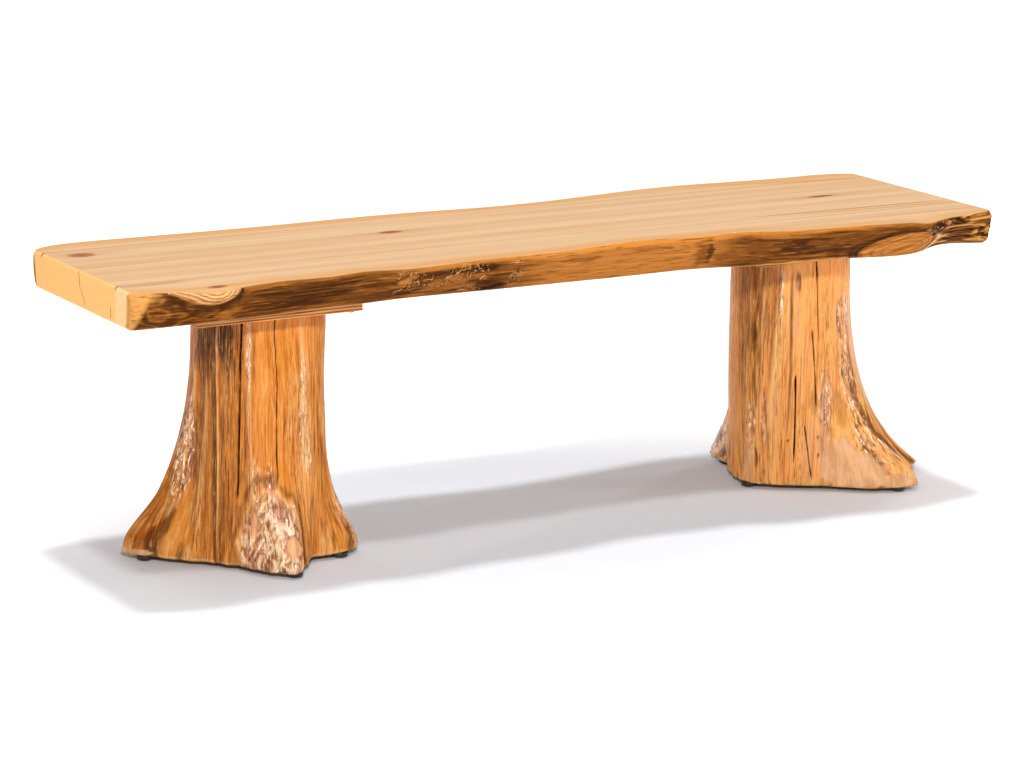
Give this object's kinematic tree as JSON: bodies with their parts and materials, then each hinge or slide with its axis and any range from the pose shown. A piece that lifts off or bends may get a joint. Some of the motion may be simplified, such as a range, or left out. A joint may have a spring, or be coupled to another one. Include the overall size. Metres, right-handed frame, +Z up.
{
  "type": "rustic log bench",
  "caption": "Backless bench with a live-edge pine slab seat on flared tree-stump legs that stand on levelling glides.",
  "frame": {"origin": "on the floor under the centre of the bench's box", "axes": "+X along the seat, +Y to the back, +Z up"},
  "size_m": [1.524, 0.4671, 0.47],
  "materials": {
    "seat_pine": "satin clear varnish",
    "stump_pine": "high-gloss clear varnish",
    "plywood": "varnished",
    "zinc_screw": "zinc plated",
    "brass_insert": "as turned",
    "black_pad": "moulded",
    "stud_steel": "zinc plated"
  },
  "bodies": {
    "bench": {"seat_board_front": "seat_pine", "seat_board_middle": "seat_pine", "seat_board_back": "seat_pine", "mounting_plate_left": "plywood", "mounting_plate_right": "plywood", "stump_left": "stump_pine", "stump_right": "stump_pine", "stump_screws_left": "zinc_screw", "stump_screws_right": "zinc_screw", "seat_screws_left": "zinc_screw", "seat_screws_right": "zinc_screw", "glide_inserts_left": "brass_insert", "glide_inserts_right": "brass_insert"},
    "glide_left_outer": {"glide_pad_left_outer": "black_pad", "glide_stem_left_outer": "stud_steel"},
    "glide_left_front": {"glide_pad_left_front": "black_pad", "glide_stem_left_front": "stud_steel"},
    "glide_left_inner": {"glide_pad_left_inner": "black_pad", "glide_stem_left_inner": "stud_steel"},
    "glide_left_back": {"glide_pad_left_back": "black_pad", "glide_stem_left_back": "stud_steel"},
    "glide_right_front": {"glide_pad_right_front": "black_pad", "glide_stem_right_front": "stud_steel"},
    "glide_right_inner": {"glide_pad_right_inner": "black_pad", "glide_stem_right_inner": "stud_steel"},
    "glide_right_back": {"glide_pad_right_back": "black_pad", "glide_stem_right_back": "stud_steel"}
  },
  "joints": [
    {"name": "left_outer_glide_height", "type": "slide", "parent": "bench", "child": "glide_left_outer", "axis": [0, 0, -1], "range_m": [0, 0.01]},
    {"name": "left_front_glide_height", "type": "slide", "parent": "bench", "child": "glide_left_front", "axis": [0, 0, -1], "range_m": [0, 0.01]},
    {"name": "left_inner_glide_height", "type": "slide", "parent": "bench", "child": "glide_left_inner", "axis": [0, 0, -1], "range_m": [0, 0.01]},
    {"name": "left_back_glide_height", "type": "slide", "parent": "bench", "child": "glide_left_back", "axis": [0, 0, -1], "range_m": [0, 0.01]},
    {"name": "right_front_glide_height", "type": "slide", "parent": "bench", "child": "glide_right_front", "axis": [0, 0, -1], "range_m": [0, 0.01]},
    {"name": "right_inner_glide_height", "type": "slide", "parent": "bench", "child": "glide_right_inner", "axis": [0, 0, -1], "range_m": [0, 0.01]},
    {"name": "right_back_glide_height", "type": "slide", "parent": "bench", "child": "glide_right_back", "axis": [0, 0, -1], "range_m": [0, 0.01]}
  ]
}
